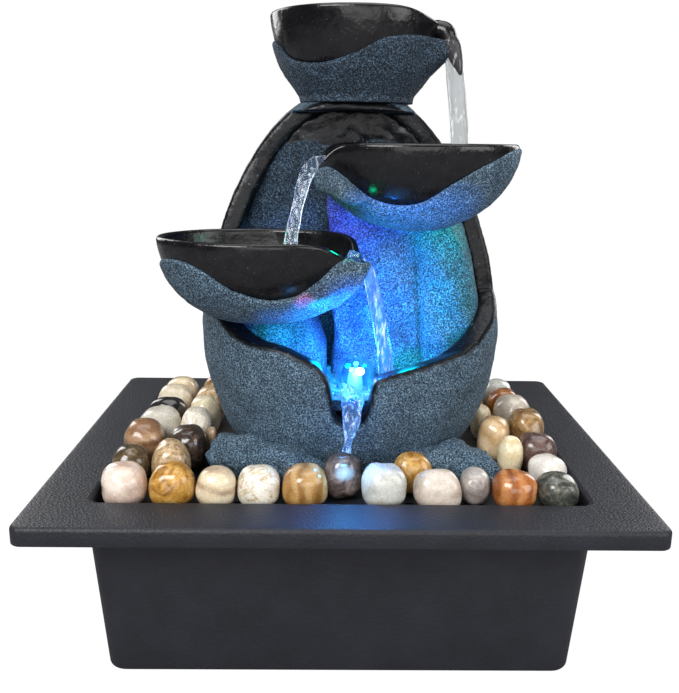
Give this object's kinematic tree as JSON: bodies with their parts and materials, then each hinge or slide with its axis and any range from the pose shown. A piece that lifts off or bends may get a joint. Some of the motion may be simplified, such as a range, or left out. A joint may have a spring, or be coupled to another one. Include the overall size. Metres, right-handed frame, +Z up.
{
  "type": "tabletop water fountain",
  "caption": "Tabletop fountain: rimmed black basin with river pebbles, hollow slate-textured egg with pouring bowls over a lamp-lit pool, and a pump below the lift-out deck.",
  "frame": {"origin": "centre of the footprint, on the surface the feet stand on", "axes": "+Z up, the open front of the casting faces -Y, +X is the right side seen from the front"},
  "size_m": [0.21, 0.17, 0.233],
  "materials": {
    "basin_black": "grained charcoal moulding",
    "rubber_black": "soft black",
    "deck_black": "smooth moulding",
    "cast_slate": "sand-textured cast resin, slate blue with pale specks",
    "cast_wall": "sand-textured cast resin, lit blue by the pool lamp",
    "gloss_black": "glossy near-black enamel",
    "clear_tube": "clear flexible tube",
    "lamp_white": "white moulding",
    "lamp_lens": "clear domed lens",
    "pump_black": "moulded pump parts",
    "slider_grey": "moulded slider",
    "impeller_white": "moulded rotor",
    "steel": "ground shaft",
    "rubber_grey": "soft grey cups",
    "pebble_mixed": "polished river pebbles",
    "pebble_cream": "polished river pebble",
    "pebble_ochre": "polished river pebble",
    "pebble_beige": "polished river pebble",
    "pebble_white": "polished river pebble",
    "pebble_grey_brown": "polished river pebble",
    "pebble_pale_grey": "polished river pebble",
    "pebble_orange": "polished river pebble",
    "pebble_dark": "polished river pebble",
    "pebble_tan": "polished river pebble",
    "pebble_brown": "polished river pebble"
  },
  "bodies": {
    "basin": {"basin": "basin_black", "rubber_feet": "rubber_black", "cable_gland": "rubber_black", "pump_body": "pump_black", "suction_cups": "rubber_grey", "impeller_shaft": "steel"},
    "deck": {"deck": "deck_black", "pebble_01": "pebble_cream", "pebble_02": "pebble_ochre", "pebble_03": "pebble_beige", "pebble_04": "pebble_white", "pebble_05": "pebble_ochre", "pebble_06": "pebble_grey_brown", "pebble_07": "pebble_pale_grey", "pebble_08": "pebble_ochre", "pebble_09": "pebble_beige", "pebble_10": "pebble_grey_brown", "pebble_11": "pebble_orange", "pebble_12": "pebble_dark", "pebble_13": "pebble_white", "pebble_14": "pebble_grey_brown", "pebble_15": "pebble_cream", "pebble_16": "pebble_tan", "pebble_17": "pebble_brown", "pebble_18": "pebble_pale_grey", "pebble_19": "pebble_brown", "pebble_20": "pebble_tan", "pebble_21": "pebble_brown", "pebble_22": "pebble_dark", "pebble_23": "pebble_pale_grey", "pebble_24": "pebble_dark", "pebble_25": "pebble_white", "pebble_26": "pebble_cream", "pebble_27": "pebble_tan", "pebble_28": "pebble_cream", "pebble_29": "pebble_tan", "rear_pebbles": "pebble_mixed"},
    "sculpture": {"shell": "cast_slate", "grotto_wall": "cast_wall", "cascade_rock": "cast_wall", "pool_bank": "cast_wall", "pool_floor": "cast_wall", "upper_bowl": "gloss_black", "upper_cradle": "cast_slate", "middle_bowl": "gloss_black", "middle_cradle": "cast_slate", "lower_bowl": "gloss_black", "lower_cradle": "cast_slate", "left_root": "cast_slate", "right_root": "cast_slate", "riser_tube": "clear_tube", "upper_nozzle": "gloss_black", "lamp_housing": "lamp_white", "lamp_lens": "lamp_lens", "lamp_nut": "pump_black", "lamp_lead": "rubber_black", "lamp_plug": "pump_black"},
    "pump_cover": {"pump_cover": "pump_black"},
    "flow_slider": {"flow_slider": "slider_grey"},
    "impeller": {"impeller": "impeller_white"}
  },
  "joints": [
    {"name": "deck_lift", "type": "slide", "parent": "basin", "child": "deck", "axis": [0, 0, 1], "range_m": [0, 0.09]},
    {"name": "sculpture_lift", "type": "slide", "parent": "deck", "child": "sculpture", "axis": [0, 0, 1], "range_m": [0, 0.06]},
    {"name": "cover_pull", "type": "slide", "parent": "basin", "child": "pump_cover", "axis": [0, -1, 0], "range_m": [0, 0.02]},
    {"name": "flow_slide", "type": "slide", "parent": "pump_cover", "child": "flow_slider", "axis": [0, 0, 1], "range_m": [-0.005, 0.005]},
    {"name": "impeller_spin", "type": "hinge", "parent": "basin", "child": "impeller", "pos_m": [0.004, 0.01, 0.0223], "axis": [0, 1, 0], "continuous": true}
  ]
}
